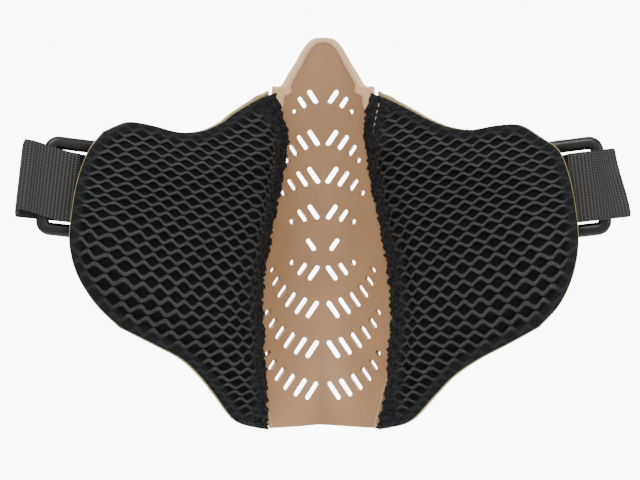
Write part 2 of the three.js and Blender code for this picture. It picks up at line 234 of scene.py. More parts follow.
def camouflageCloth(start):
    broad = speckle(start, 26, 3, 0.55)
    patch = speckle(start, 48, 2, 0.5, shifted(start, (0.3, 0.1, 0.7)))
    small = speckle(start, 90, 2, 0.5, shifted(start, (1.3, 0.4, 0.2)))
    where, height = axisOf(start, 0), axisOf(start, 2)
    sand = broad.ramp(0.35, 0.62).mixColour((0.43, 0.36, 0.25), (0.33, 0.30, 0.20))
    colour = patch.ramp(0.53, 0.56).mixColour(sand, (0.16, 0.17, 0.085))
    colour = small.ramp(0.585, 0.60).mixColour(colour, (0.115, 0.075, 0.045))
    colour = small.ramp(0.34, 0.325).mixColour(colour, (0.56, 0.52, 0.42))
    weave = (where * 5200).maths("SINE") + (height * 5200).maths("SINE")
    edge = attribute(start, "rawEdge")
    colour = edge.mixColour(colour, (0.46, 0.36, 0.17))
    return {"Base Color": colour, "Bump": (weave, 0.25, 0.00025)}


def ribbedWebbing(start):
    uv = start.node("ShaderNodeUVMap", {}, 0, uv_map="cloth")
    along, across = axisOf(uv, 0), axisOf(uv, 1)
    rib = (along * (math.tau / 1.32)).maths("SINE")
    stitch = (across * (math.tau / 0.95) + rib * 1.3).maths("SINE")
    fibre = speckle(start, 1500, 3, 0.6)
    relief = rib * 0.5 + stitch * 0.28 + fibre * 0.5
    # The colour follows the rib and stitch relief: grooves painted darker and rib tops lighter, painted shade
    # and highlight, with random fibre tone mixed in.
    colour = relief.ramp(-0.45, 0.75).mixColour((0.009, 0.009, 0.0087), (0.062, 0.061, 0.058))
    return {"Base Color": colour, "Bump": (relief, 0.75, 0.0005)}


def loopPlastic(start):
    cloud = speckle(start, 90, 3)
    grain = speckle(start, 1800, 2)
    colour = cloud.mixColour((0.0035, 0.0035, 0.0035), (0.007, 0.007, 0.0068))
    return {"Base Color": colour, "Roughness": 0.3 + cloud * 0.16, "Bump": (grain, 0.12, 0.0003)}


def creamThread(start):
    twist = speckle(start, 1500, 2)
    colour = twist.mixColour((0.45, 0.38, 0.25), (0.75, 0.68, 0.50))
    return {"Base Color": colour, "Bump": (twist, 0.3, 0.0002)}


def darkThread(start):
    twist = speckle(start, 1500, 2)
    colour = twist.mixColour((0.012, 0.012, 0.013), (0.05, 0.05, 0.052))
    return {"Base Color": colour, "Bump": (twist, 0.3, 0.0002)}


materials = {
    "panel": finish("tanMouldedPlastic", mouldedTan),
    "mesh": finish("blackSpacerMesh", spacerYarn, **{"Sheen Weight": 0.02, "Specular IOR Level": 0.2}),
    "camo": finish("aridCamouflageCloth", camouflageCloth, Roughness=0.85),
    "webbing": finish("ribbedGreyWebbing", ribbedWebbing, Roughness=0.78),
    "loop": finish("blackLoopPlastic", loopPlastic),
    "cream": finish("creamThread", creamThread, Roughness=0.7),
    "thread": finish("blackThread", darkThread, Roughness=0.7),
}
print("materials made")

# The face-side surface, in millimetres.
mask = {
    "ridgeDepth": [(-74, -25), (-55, -33), (-35, -38), (-10, -40), (15, -39), (40, -34), (60, -27),
                   (80, -17)],
    "creaseHalfWidth": [(-74, 24), (-50, 28), (-25, 31), (0, 29.5), (35, 26), (60, 22), (80, 19)],
    "creaseDepth": [(-74, -14), (-45, -12), (0, -11), (40, -12), (80, -9)],
    "panelHalfWidth": [(-71, 19.3), (-60, 22), (-45, 25.4), (-25, 27.2), (0, 25), (25, 21.5), (45, 19),
                       (57.4, 17.8)],
    "liningInnerEdge": [(-72, 20.6), (-55, 22.8), (-38, 24), (-22, 24.6), (-2, 22), (17, 18.4), (32, 15.5),
                        (42, 15), (57, 18.6)],
    "wingRise": 26, "wingSpan": 90, "wallPower": 2.4, "wingPower": 1.6, "jawCurl": 0.0009, "creaseRound": 4,
    "foldStart": 26.5, "foldEnd": 33.0, "foldY": -14,
}


def alongHeight(key):
    knots = np.array(mask[key], float)
    h, value = knots[:, 0], knots[:, 1]
    slope = np.empty(len(h))
    slope[1:-1] = (value[2:] - value[:-2]) / (h[2:] - h[:-2])
    slope[0] = (value[1] - value[0]) / (h[1] - h[0])
    slope[-1] = (value[-1] - value[-2]) / (h[-1] - h[-2])

    def at(z):
        z = np.asarray(z, float)
        i = np.clip(np.searchsorted(h, z, side="right") - 1, 0, len(h) - 2)
        span = h[i + 1] - h[i]
        t = np.clip((z - h[i]) / span, 0, 1)
        return ((2 * t**3 - 3 * t**2 + 1) * value[i] + (t**3 - 2 * t**2 + t) * slope[i] * span
                + (3 * t**2 - 2 * t**3) * value[i + 1] + (t**3 - t**2) * slope[i + 1] * span)
    return at


ridgeDepth, creaseHalfWidth = alongHeight("ridgeDepth"), alongHeight("creaseHalfWidth")
creaseDepth, panelHalfWidth = alongHeight("creaseDepth"), alongHeight("panelHalfWidth")
liningInnerEdge = alongHeight("liningInnerEdge")


def faceDepth(x, z):
    side, crease = np.abs(x), creaseHalfWidth(z)
    panel = ridgeDepth(z) + (creaseDepth(z) - ridgeDepth(z)) * (side / crease) ** mask["wallPower"]
    along = (side - crease) / (mask["wingSpan"] - crease)
    bow = 1 - np.sign(1 - along) * np.abs(1 - along) ** mask["wingPower"]
    wing = creaseDepth(z) + mask["wingRise"] * bow + mask["jawCurl"] * (z + 5) ** 2 * np.maximum(along, 0)
    near = np.maximum(mask["creaseRound"] - np.abs(panel - wing), 0) / mask["creaseRound"]
    return np.minimum(panel, wing) - near * near * mask["creaseRound"] / 4


def onFace(x, z, lift):  # rows of points, in metres, standing off the surface towards the face
    step = 0.5
    slopeX = (faceDepth(x + step, z) - faceDepth(x - step, z)) / (2 * step)
    slopeZ = (faceDepth(x, z + step) - faceDepth(x, z - step)) / (2 * step)
    length = np.sqrt(slopeX**2 + 1 + slopeZ**2)
    lifted = [x - slopeX / length * lift, faceDepth(x, z) + lift / length, z - slopeZ / length * lift]
    return mm * np.stack(lifted, 1)


def surfaceAcross(x, z):  # how far round the surface a point lies from the middle, in millimetres
    total = np.zeros_like(x)
    parts = 24
    for k in range(parts):
        middle = x * (k + 0.5) / parts
        slope = (faceDepth(middle + 0.25, z) - faceDepth(middle - 0.25, z)) / 0.5
        total += np.sqrt(1 + slope**2) * x / parts
    return total


def smooth(low, high, value):
    t = np.clip((value - low) / (high - low), 0, 1)
    return t * t * (3 - 2 * t)


# Sheets that lie on the surface.
def closedSheet(name, columns, rows):
    bm = bmesh.new()
    bmesh.ops.create_grid(bm, x_segments=columns, y_segments=rows, size=0.5)
    under = bmesh.ops.extrude_face_region(bm, geom=bm.faces[:], use_keep_orig=True)["geom"]
    for v in under:
        if isinstance(v, bmesh.types.BMVert):
            v.co.z = -1
    mesh = bpy.data.meshes.new(name)
    bmesh.ops.recalc_face_normals(bm, faces=bm.faces[:])
    bm.to_mesh(mesh)
    bm.free()
    place = np.empty(len(mesh.vertices) * 3)
    mesh.vertices.foreach_get("co", place)
    place = place.reshape(-1, 3)
    return mesh, place[:, 0] + 0.5, place[:, 1] + 0.5, place[:, 2] < -0.5


def setPlaces(mesh, places):
    mesh.vertices.foreach_set("co", places.astype(np.float32).ravel())
    mesh.update()


def setAttribute(mesh, name, values):
    layer = mesh.attributes.new(name, "FLOAT", "POINT")
    layer.data.foreach_set("value", np.asarray(values, np.float32))


def setUv(mesh, u, v):
    layer = mesh.uv_layers.new(name="cloth")
    corner = np.empty(len(mesh.loops), np.int32)
    mesh.loops.foreach_get("vertex_index", corner)
    layer.data.foreach_set("uv", np.stack([u[corner], v[corner]], 1).astype(np.float32).ravel())


def addPiece(name, mesh, material, smoothAngle=None):
    piece = bpy.data.objects.new(name, mesh)
    bpy.context.scene.collection.objects.link(piece)
    mesh.materials.clear()
    mesh.materials.append(material)
    mesh.polygons.foreach_set("use_smooth", np.ones(len(mesh.polygons), bool))
    if smoothAngle:
        mesh.set_sharp_from_angle(angle=math.radians(smoothAngle))
    return piece


def facesOut(mesh):
    bm = bmesh.new()
    bm.from_mesh(mesh)
    bmesh.ops.remove_doubles(bm, verts=bm.verts[:], dist=1e-6)
    bmesh.ops.recalc_face_normals(bm, faces=bm.faces[:])
    if bm.calc_volume(signed=True) < 0:
        bmesh.ops.reverse_faces(bm, faces=bm.faces[:])
    bm.to_mesh(mesh)
    bm.free()


# Outlines of the wing and its layers.
wing = {
    "jaw": [(20.6, -71.2), (25, -70.2), (33, -66.6), (41, -57), (47.5, -49.5), (56, -43), (66, -37.2),
            (76.5, -31)],
    "ear": [(76.5, -31), (83.6, -23), (88.2, -13), (90.2, -2), (89.6, 9), (87.4, 21.5), (83.6, 31.6),
            (78.4, 38.4)],
    "cheek": [(18.8, 55.6), (24, 52.8), (33, 47.6), (38, 44.6), (45, 41.4), (53, 39.9), (62, 41.2),
              (70, 42), (78.4, 38.4)],
}
trim = {  # the two wings are cut a little differently: which point of which outline moves, and how far
    "left": {"jaw": {3: (-1.2, 0), 4: (-2.2, 0), 5: (-4.2, 0), 6: (-4.4, 0), 7: (-3.6, 0)},
             "ear": {0: (-3.6, 0), 1: (-2.8, 0), 2: (-1, 0)},
             "cheek": {2: (0, -0.8), 3: (0, -1.8), 4: (0, -1.8), 5: (0, -0.8)}},
    "right": {"jaw": {}, "ear": {7: (-1, -2)}, "cheek": {7: (0, -1), 8: (-1, -2)}},
}


def smoothCurve(points):  # a function from a share of the curve's length to a point on it
    knots = np.array(points, float)
    ends = np.vstack([2 * knots[0] - knots[1], knots, 2 * knots[-1] - knots[-2]])
    fine = []
    for i in range(1, len(ends) - 2):
        p0, p1, p2, p3 = ends[i - 1:i + 3]
        t = np.linspace(0, 1, 24, endpoint=False)[:, None]
        fine.append(0.5 * (2 * p1 + (p2 - p0) * t + (2 * p0 - 5 * p1 + 4 * p2 - p3) * t**2
                           + (3 * p1 - p0 - 3 * p2 + p3) * t**3))
    fine = np.vstack(fine + [knots[-1:]])
    length = np.concatenate([[0], np.cumsum(np.linalg.norm(np.diff(fine, axis=0), axis=1))])

    def at(share):
        where = np.clip(share, 0, 1) * length[-1]
        return np.stack([np.interp(where, length, fine[:, 0]), np.interp(where, length, fine[:, 1])], 1)
    return at


def trimmed(name, key):
    points = []
    for i, (x, z) in enumerate(wing[key]):
        moveX, moveZ = trim[name][key].get(i, (0, 0))
        points.append((x + moveX, z + moveZ))
    return smoothCurve(points)


curves = {name: [trimmed(name, key) for key in ("jaw", "ear", "cheek")] for name in sides}


def wingPlace(name, u, v, innerEdge):  # a sheet between the inner edge and the three outlines
    jawCurve, earCurve, cheekCurve = curves[name]
    zero, one = np.zeros_like(u), np.ones_like(u)
    low, high = jawCurve(zero), cheekCurve(zero)
    z = low[:, 1] + (high[:, 1] - low[:, 1]) * v
    inner = np.stack([innerEdge(z), z], 1)
    startLow, startHigh = innerEdge(low[:, 1]), innerEdge(high[:, 1])
    lower, upper, outer = jawCurve(u), cheekCurve(u), earCurve(v)
    lower = lower + ((1 - u) ** 4)[:, None] * (np.stack([startLow, low[:, 1]], 1) - jawCurve(zero))
    upper = upper + ((1 - u) ** 4)[:, None] * (np.stack([startHigh, high[:, 1]], 1) - cheekCurve(zero))
    u2, v2 = u[:, None], v[:, None]
    corners = ((1 - u2) * (1 - v2) * np.stack([startLow, low[:, 1]], 1) + u2 * (1 - v2) * jawCurve(one)
               + (1 - u2) * v2 * np.stack([startHigh, high[:, 1]], 1) + u2 * v2 * cheekCurve(one))
    place = (1 - v2) * lower + v2 * upper + (1 - u2) * inner + u2 * outer - corners
    return place[:, 0], place[:, 1]


def edgeDistance(x, z, border, closed=True):
    best = np.full(len(x), 1e9)
    first, second = border, np.roll(border, -1, axis=0)
    if not closed:
        first, second = border[:-1], border[1:]
    for p, q in zip(first, second):
        d = q - p
        t = np.clip(((x - p[0]) * d[0] + (z - p[1]) * d[1]) / max(d @ d, 1e-9), 0, 1)
        best = np.minimum(best, np.hypot(x - p[0] - t * d[0], z - p[1] - t * d[1]))
    return best


def outerBorder(name):
    jawCurve, earCurve, cheekCurve = curves[name]
    jaw, ear = jawCurve(np.linspace(0, 1, 40)), earCurve(np.linspace(0, 1, 50))
    return np.vstack([jaw, ear, cheekCurve(np.linspace(1, 0, 44))])


# Cheek pads of spacer mesh.
def wavering(x, z, size, seed):
    return np.array([noise.noise(Vector((a / size, b / size, seed))) for a, b in zip(x, z)])


def strandAway(a, b):  # millimetres to the nearest of the wavy strands, which meet in turn above and below
    wave = pad["strandWave"] * np.cos(a * math.tau / pad["cellWide"])
    even = np.abs(((b - wave) / pad["cellTall"] + 0.5) % 1 - 0.5)
    odd = np.abs(((b + wave) / pad["cellTall"]) % 1 - 0.5)
    return np.minimum(even, odd) * pad["cellTall"]


def cheekPad(name, side):
    mesh, u, v, under = closedSheet("cheekPad_" + name, pad["columns"], pad["rows"])
    lean = pad["innerShift"][name]
    knotHeights = np.linspace(-76, 66, 570)
    knotReach = wavering(knotHeights * 0 + side, knotHeights, 1.5, 4) * 1.1
    knotReach += wavering(knotHeights * 0 + side, knotHeights, 0.7, 8) * 0.6

    def ragged(z):
        leaning = lean * smooth(-70, -55, z) * smooth(54, 40, z)
        return liningInnerEdge(z) + leaning + np.interp(z, knotHeights, knotReach)

    x, z = wingPlace(name, u, v, ragged)
    toRim = edgeDistance(x, z, outerBorder(name), closed=False)
    toInner = x - ragged(z)
    across = surfaceAcross(x, z)
    tilt = math.radians(pad["rowTilt"]) * smooth(-60, 10, z)
    a = across * np.cos(tilt) + (z - 10) * np.sin(tilt) + 0.7 * wavering(x, z, 15, 3 + side)
    b = -across * np.sin(tilt) + (z - 10) * np.cos(tilt) + 0.7 * wavering(x, z, 17, 9 + side)
    bowl = smooth(pad["strandHalf"] * 0.4, pad["strandHalf"] * 2.2, strandAway(a, b))
    pressed = 1 - smooth(pad["pressedBand"] * 0.75, pad["pressedBand"] * 1.35, toRim)
    groove = np.exp(-((toRim - pad["pressedBand"] * 0.62) / 0.35) ** 2)
    wide = pad["fuzzBand"] * (1 + 0.45 * smooth(25, 50, z))
    fuzz = 1 - smooth(wide * 0.45, wide * 1.05, toInner + 3.0 * wavering(x, z, 5, 5))
    openness = (1 - pressed * 0.85) * (1 - fuzz * 0.9)
    crownRise = smooth(0.5, 15, toRim) * smooth(1, 15, toInner)
    rim = smooth(0, 1.3, toRim) * smooth(-0.2, 1.2, toInner)
    top = 0.35 + pad["thickness"] * (0.25 + 0.75 * rim) * (1 - 0.3 * pressed)
    top += (pad["foam"] + pad["crown"]) * crownRise - 0.22 * groove * rim
    knobs = wavering(x, z, 0.9, 1 + side) * 0.85 + wavering(x, z, 2.1, 2) * 0.7
    top += fuzz * knobs * rim - pad["cellDepth"] * bowl * openness
    lift = np.where(under, 0.3, top)
    places = onFace(x, z, lift)
    places[:, 0] *= side
    setPlaces(mesh, places)
    setAttribute(mesh, "pressed", pressed)
    setAttribute(mesh, "fuzz", fuzz)
    setUv(mesh, a, b)
    facesOut(mesh)
    piece = addPiece("cheekPad_" + name, mesh, materials["mesh"])
    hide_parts("mesh_lining_" + name, "lining_margin_" + name, "hinge_strip_" + name,
                "foam_core_" + name)
    acrossFold(piece)


def acrossFold(piece):
    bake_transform(piece)


# Outer camouflage shells.
shell = {
    "columns": 84, "rows": 120, "wall": 2.2, "lap": 5.5, "fabric": 1.0, "proud": 0.28, "underPad": 2.35,
    "stitchInset": 4.0, "stitchPitch": 3.2, "stitchRadius": 0.22,
    "stitchFrom": 36, "stitchCentre": (58.0, -3.0),
}


def camouflageShell(name, side):
    mesh, u, v, under = closedSheet("camoShell_" + name, shell["columns"], shell["rows"])

    def lapEdge(z):
        lap = shell["lap"] * smooth(54, 44, z) * smooth(-69, -60, z)
        return panelHalfWidth(z) - lap + 1.6 * smooth(46, 55, z)

    x, z = wingPlace(name, u, v, lapEdge)
    grow = shell["proud"] * np.maximum(u ** 6, np.maximum(0.3 * v ** 8, 1.2 * (1 - v) ** 8))
    centre = np.stack([x - 55, z + 5], 1)
    centre /= np.linalg.norm(centre, axis=1)[:, None]
    x, z = x + centre[:, 0] * grow, z + centre[:, 1] * grow
    beyond = smooth(-0.5, 3.5, x - panelHalfWidth(z))
    faceSide = -shell["underPad"] + shell["underPad"] * beyond
    wall = shell["fabric"] + (shell["wall"] - shell["fabric"]) * smooth(0, 6, x - panelHalfWidth(z))
    lift = np.where(under, faceSide - wall, faceSide)
    places = onFace(x, z, lift)
    places[:, 0] *= side
    setPlaces(mesh, places)
    border = np.minimum(np.minimum(u, 1 - u), np.minimum(v, 1 - v))
    onEdge = (border < 1e-4) | (~under & ((1 - u < 0.03) | (v < 0.016) | (v > 0.984)))
    setAttribute(mesh, "rawEdge", onEdge * 1.0)
    facesOut(mesh)
    piece = addPiece("camoShell_" + name, mesh, materials["camo"], 50)
    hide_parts("wing_shell_" + name)
    acrossFold(piece)


# The nose panel.
panel = {
    "bottom": -71, "tip": 76.6, "shoulder": 57.4, "shoulderHalf": 17.6, "tipHalf": 11.5, "wall": 2.0,
    "columns": 112, "rows": 300, "lip": 1.5, "lipRise": 0.55, "slotWidth": 1.75, "slotLean": 56,
    "slotRows": [  # height, radius, first angle, step, slots a side, longest, which way the row hangs
        (55.4, 12, 19, 21.5, 3, 6.1, -1), (39.8, 14.3, 14.2, 18.4, 4, 7.1, -1),
        (25.4, 18.7, 10.8, 14, 4, 7.5, -1), (11.2, 18.7, 10.9, 14, 3, 6.6, -1), (-1.3, 20, 13, 0, 1, 5.4, -1),
        (-13.2, 17.7, 11.4, 15, 3, 6.6, 1), (-27.5, 19.3, 12, 13.6, 6, 7.6, 1),
        (-42.7, 22, 10.6, 12.2, 6, 7.9, 1), (-58.3, 22.3, 10.6, 12, 6, 8.1, 1)],
    "ejectorMarks": [(14.5, -63, 2.2), (-14.5, -63, 2.2), (15.5, 6, 1.9), (-15.5, 6, 1.9)],
}


def panelBorder():
    z = np.linspace(panel["bottom"], panel["shoulder"], 60)
    sidePart = np.stack([panelHalfWidth(z), z], 1)
    shoulder, top = panel["shoulder"], panel["tip"]
    shoulderHalf, tipHalf = panel["shoulderHalf"], panel["tipHalf"]
    tip = smoothCurve([(shoulderHalf - 0.2, shoulder + 0.3), (shoulderHalf - 3, shoulder + 0.9),
                       (tipHalf + 0.8, shoulder + 5), (tipHalf - 1.7, top - 10), (tipHalf - 4.9, top - 4.2),
                       (3.4, top - 0.95), (0, top)])
    right = np.vstack([sidePart, tip(np.linspace(0, 1, 50))])
    return np.vstack([right, (right[:-1] * (-1, 1))[::-1]])


def prism(bm, points, low, high):
    ring = [bm.verts.new((p[0], low, p[1])) for p in points]
    face = bm.faces.new(ring)
    made = bmesh.ops.extrude_face_region(bm, geom=[face])["geom"]
    for v in made:
        if isinstance(v, bmesh.types.BMVert):
            v.co.y = high


def cutWith(target, tool, how):
    cut = target.modifiers.new(how, "BOOLEAN")
    cut.operation, cut.solver, cut.object = how, "MANIFOLD", tool
    bpy.context.view_layer.update()
    done = bpy.data.meshes.new_from_object(target.evaluated_get(bpy.context.evaluated_depsgraph_get()))
    target.modifiers.clear()
    target.data = done
    bpy.data.objects.remove(tool)


def toolFrom(bm, name):
    bmesh.ops.recalc_face_normals(bm, faces=bm.faces[:])
    mesh = bpy.data.meshes.new(name)
    bm.to_mesh(mesh)
    bm.free()
    tool = bpy.data.objects.new(name, mesh)
    bpy.context.scene.collection.objects.link(tool)
    return tool


def slotPlaces():
    for height, radius, first, step, count, longest, hang in panel["slotRows"]:
        for k in range(count):
            angle = math.radians(first + step * k)
            share = k / (count - 1) if count > 1 else 0
            length = longest * math.cos(share * math.radians(70))
            z = height + hang * radius * (1 - math.cos(angle))
            x = radius * math.sin(angle)
            for side in (1, -1):
                yield side * x, z, length, -side * hang * math.radians(panel["slotLean"])


def nosePanel():
    border = panelBorder()
    mesh, u, v, under = closedSheet("nosePanel", panel["columns"], panel["rows"])
    reach, low, high = 29.0, panel["bottom"] - 3, panel["tip"] + 3
    setPlaces(mesh, np.stack([(2 * u - 1) * reach, np.where(under, -1.0, 1.0), low + (high - low) * v], 1))
    facesOut(mesh)
    plate = bpy.data.objects.new("nosePanel", mesh)
    bpy.context.scene.collection.objects.link(plate)
    bm = bmesh.new()
    prism(bm, border, -5, 5)
    cutWith(plate, toolFrom(bm, "outline"), "INTERSECT")
    bm = bmesh.new()
    half = panel["slotWidth"] / 2
    for x, z, length, lean in slotPlaces():
        run = max(length - panel["slotWidth"], 0.3) / 2
        turned = []
        cos, sin = math.cos(lean), math.sin(lean)
        for middle, start, end in ((run, -0.5, 0.5), (-run, 0.5, 1.5)):
            for t in np.linspace(start * math.pi, end * math.pi, 9):
                a, b = middle + half * math.cos(t), half * math.sin(t)
                turned.append((x + a * cos - b * sin, z + a * sin + b * cos))
        prism(bm, turned, -5, 5)
    cutWith(plate, toolFrom(bm, "slots"), "DIFFERENCE")
    mesh = plate.data
    flat = np.empty(len(mesh.vertices) * 3)
    mesh.vertices.foreach_get("co", flat)
    x, t, z = flat.reshape(-1, 3).T
    toEdge = edgeDistance(x, z, border)
    lipWidth = panel["lip"] + 1.6 * smooth(46, 52, z) * smooth(59, 56, z)
    onLip = (1 - smooth(lipWidth - 0.35, lipWidth + 0.35, toEdge)) * smooth(38, 44, z)
    lift = np.where(t > 0, panel["lipRise"] * onLip, -panel["wall"])
    for mx, mz, radius in panel["ejectorMarks"]:
        ring = np.hypot(x - mx, z - mz)
        lift = lift - np.where(t > 0, 0.10 * np.exp(-((ring - radius) / 0.35) ** 2), 0)
    setPlaces(mesh, onFace(x, z, lift))
    # The rim attribute marks the lip and the cut edge for a painted highlight, a lighter colour where the
    # edge catches light.
    edgeFace = (toEdge < 0.02) * 1.0
    setAttribute(mesh, "rim", np.clip(onLip + edgeFace, 0, 1))
    facesOut(mesh)
    bpy.data.objects.remove(plate)
    piece = addPiece("nosePanel", mesh, materials["panel"], 38)
    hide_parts("nose_panel")
    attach(piece, "panel")


# Straps and loops.
strap = {
    "width": 25, "wall": 1.5, "tilt": 6.5, "lean": 15, "edgeX": 88.5, "height": 18.5, "stand": 1.0,
    "loopReach": 12.5, "loopLength": 26, "bar": 5.2, "loopWall": 3.8, "foldReach": 21.5, "foldGrip": 5.4,
    "clear": 1.2, "slack": 0.4, "loopFront": 0.5, "overlapStart": 6.2, "overlapDepth": 5.6,
    "sewnNear": -11.0, "sewnFar": -6.9, "sewnHalf": 10.5, "sewnPitch": 2.1, "sewnRadius": 0.2,
    "endX": 36, "air": 3.2, "gap": 0.3, "tailShare": 0.86, "tabLength": 11, "tabWall": 1.15,
    "keeperShare": 0.36, "keeperLength": 9, "keeperWall": 1.6, "keeperClear": 0.5,
}
tilt = math.radians(strap["tilt"])
shellWall = shell["wall"]
edgeSurface = float(faceDepth(np.array([strap["edgeX"]]), np.array([strap["height"]]))[0])
strapEdgeDepth = edgeSurface - shellWall - strap["stand"]
strapFrame = (Matrix.Translation((strap["edgeX"], strapEdgeDepth, strap["height"]))
              @ Matrix.Rotation(-tilt, 4, "Y") @ Matrix.Rotation(math.radians(strap["lean"]), 4, "Z"))
loopMiddle = -strap["loopFront"] - strap["wall"] - strap["slack"] - strap["loopWall"] / 2
innerBar = strap["loopReach"] - strap["loopLength"] + strap["bar"] / 2
turnRadius = strap["loopWall"] / 2 + strap["slack"] + strap["wall"]

# The stowed strap runs straight from its end near the nose panel to the plastic loop.
stowOut = strapFrame @ Vector((innerBar - strap["overlapStart"], loopMiddle - turnRadius, 0))
stowInZ = stowOut.z - (stowOut.x - strap["endX"]) * math.tan(tilt)
stowStand = shellWall + strap["air"] + strap["wall"] / 2
stowHeights = stowInZ + np.array([-0.5, 0, 0.5]) * strap["width"]
stowDepths = onFace(np.full(3, float(strap["endX"])), stowHeights, -stowStand)[:, 1] / mm
stowIn = Vector((strap["endX"], float(min(stowDepths)), stowInZ))
stowAlong = (stowOut - stowIn).normalized()
stowAcross = Vector((-math.sin(tilt), 0, math.cos(tilt)))
stowFront = stowAlong.cross(stowAcross).normalized()
layerStep = strap["wall"] + strap["gap"]


def placedOnWing(bm, side, frameMatrix):  # from a frame in millimetres to the row frame
    bmesh.ops.transform(bm, matrix=frameMatrix, verts=bm.verts[:])
    bmesh.ops.scale(bm, vec=(side * mm, mm, mm), verts=bm.verts[:])
    bmesh.ops.recalc_face_normals(bm, faces=bm.faces[:])


def roundedRing(x0, x1, half, corner, bar, thick, rounding, segments):  # flat in X and Z, centred on Y
    bm = bmesh.new()
    bmesh.ops.create_grid(bm, x_segments=1, y_segments=1, size=1)
    for v in bm.verts:
        v.co = (x0 if v.co.x < 0 else x1, thick / 2, half * (1 if v.co.y > 0 else -1))
    bmesh.ops.bevel(bm, geom=bm.verts[:], offset=corner, segments=10, profile=0.5, affect="VERTICES",
                    material=-1)
    inner = bmesh.ops.inset_individual(bm, faces=bm.faces[:], thickness=bar)
    middle = [f for f in bm.faces if f not in inner["faces"]]
    bmesh.ops.delete(bm, geom=middle, context="FACES")
    made = bmesh.ops.extrude_face_region(bm, geom=bm.faces[:], use_keep_orig=True)["geom"]
    for v in made:
        if isinstance(v, bmesh.types.BMVert):
            v.co.y -= thick
    bmesh.ops.recalc_face_normals(bm, faces=bm.faces[:])
    sharp = [e for e in bm.edges if len(e.link_faces) == 2 and e.calc_face_angle() > math.radians(60)]
    bmesh.ops.bevel(bm, geom=sharp, offset=rounding, segments=segments, profile=0.5, affect="EDGES",
                    material=-1, clamp_overlap=True)
    return bm


def ringPiece(name, bm, node, body):
    mesh = bpy.data.meshes.new(name)
    bm.to_mesh(mesh)
    bm.free()
    facesOut(mesh)
    piece = addPiece(name, mesh, materials["loop"], 40)
    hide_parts(node)
    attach(piece, body)


def plasticLoop(name, side):
    outerHalf = strap["width"] / 2 + strap["clear"] + strap["bar"] * 0.8
    bm = roundedRing(strap["loopReach"] - strap["loopLength"], strap["loopReach"], outerHalf, corner=5.2,
                     bar=strap["bar"] * 0.9, thick=strap["loopWall"] * 1.1, rounding=1.9, segments=6)
    placedOnWing(bm, side, strapFrame @ Matrix.Translation((0, loopMiddle, 0)))
    ringPiece("plasticLoop_" + name, bm, "strap_ring_" + name, "loop_" + name)


def keeper(name, side):
    reach = strap["keeperClear"] + strap["keeperWall"]
    deep = (layerStep + strap["wall"]) / 2 + reach
    bm = roundedRing(-deep, deep, strap["width"] / 2 + reach, corner=1.8, bar=strap["keeperWall"],
                     thick=strap["keeperLength"], rounding=0.5, segments=3)
    middle = stowIn.lerp(stowOut, strap["keeperShare"]) + stowFront * layerStep / 2
    turned = Matrix((stowFront, stowAlong, stowAcross)).transposed().to_4x4()
    placedOnWing(bm, side, Matrix.Translation(middle) @ turned)
    ringPiece("strapKeeper_" + name, bm, "strap_keeper_" + name, "keeper_" + name)


def band(name, path, width, wall, across):  # a flat band along a path of points
    mesh, u, v, under = closedSheet(name, len(path) * 3, 20)
    points = np.array(path, float)
    length = np.concatenate([[0], np.cumsum(np.linalg.norm(np.diff(points, axis=0), axis=1))])

    def at(s):
        return np.stack([np.interp(s, length, points[:, k]) for k in range(3)], 1)

    s = u * length[-1]
    step = length[-1] / 300
    along = at(np.clip(s + step, 0, length[-1])) - at(np.clip(s - step, 0, length[-1]))
    along /= np.linalg.norm(along, axis=1)[:, None]
    wide = np.tile(np.array(across, float), (len(s), 1))
    out = np.cross(along, wide)
    out /= np.linalg.norm(out, axis=1)[:, None]
    edge = np.abs(2 * v - 1)
    soft = 1 - 0.45 * np.clip((edge - 0.93) / 0.07, 0, 1) ** 2
    sideways = wide * ((v - 0.5) * width)[:, None]
    standing = out * (np.where(under, -0.5, 0.5) * wall * soft)[:, None]
    return mesh, at(s) + sideways + standing, s, v * width


def webbingPiece(name, mesh, places, s, w, side):
    places = places * mm
    places[:, 0] *= side
    setPlaces(mesh, places)
    setUv(mesh, s, w)
    facesOut(mesh)
    piece = addPiece(name, mesh, materials["webbing"], 50)
    return piece


def onStrapFrame(places):
    return (np.c_[places, np.ones(len(places))] @ np.array(strapFrame).T)[:, :3]


def arc(centre, radius, start, end, parts):
    return [(centre[0] + radius * math.cos(math.radians(t)), centre[1] + radius * math.sin(math.radians(t)))
            for t in np.linspace(start, end, parts)]


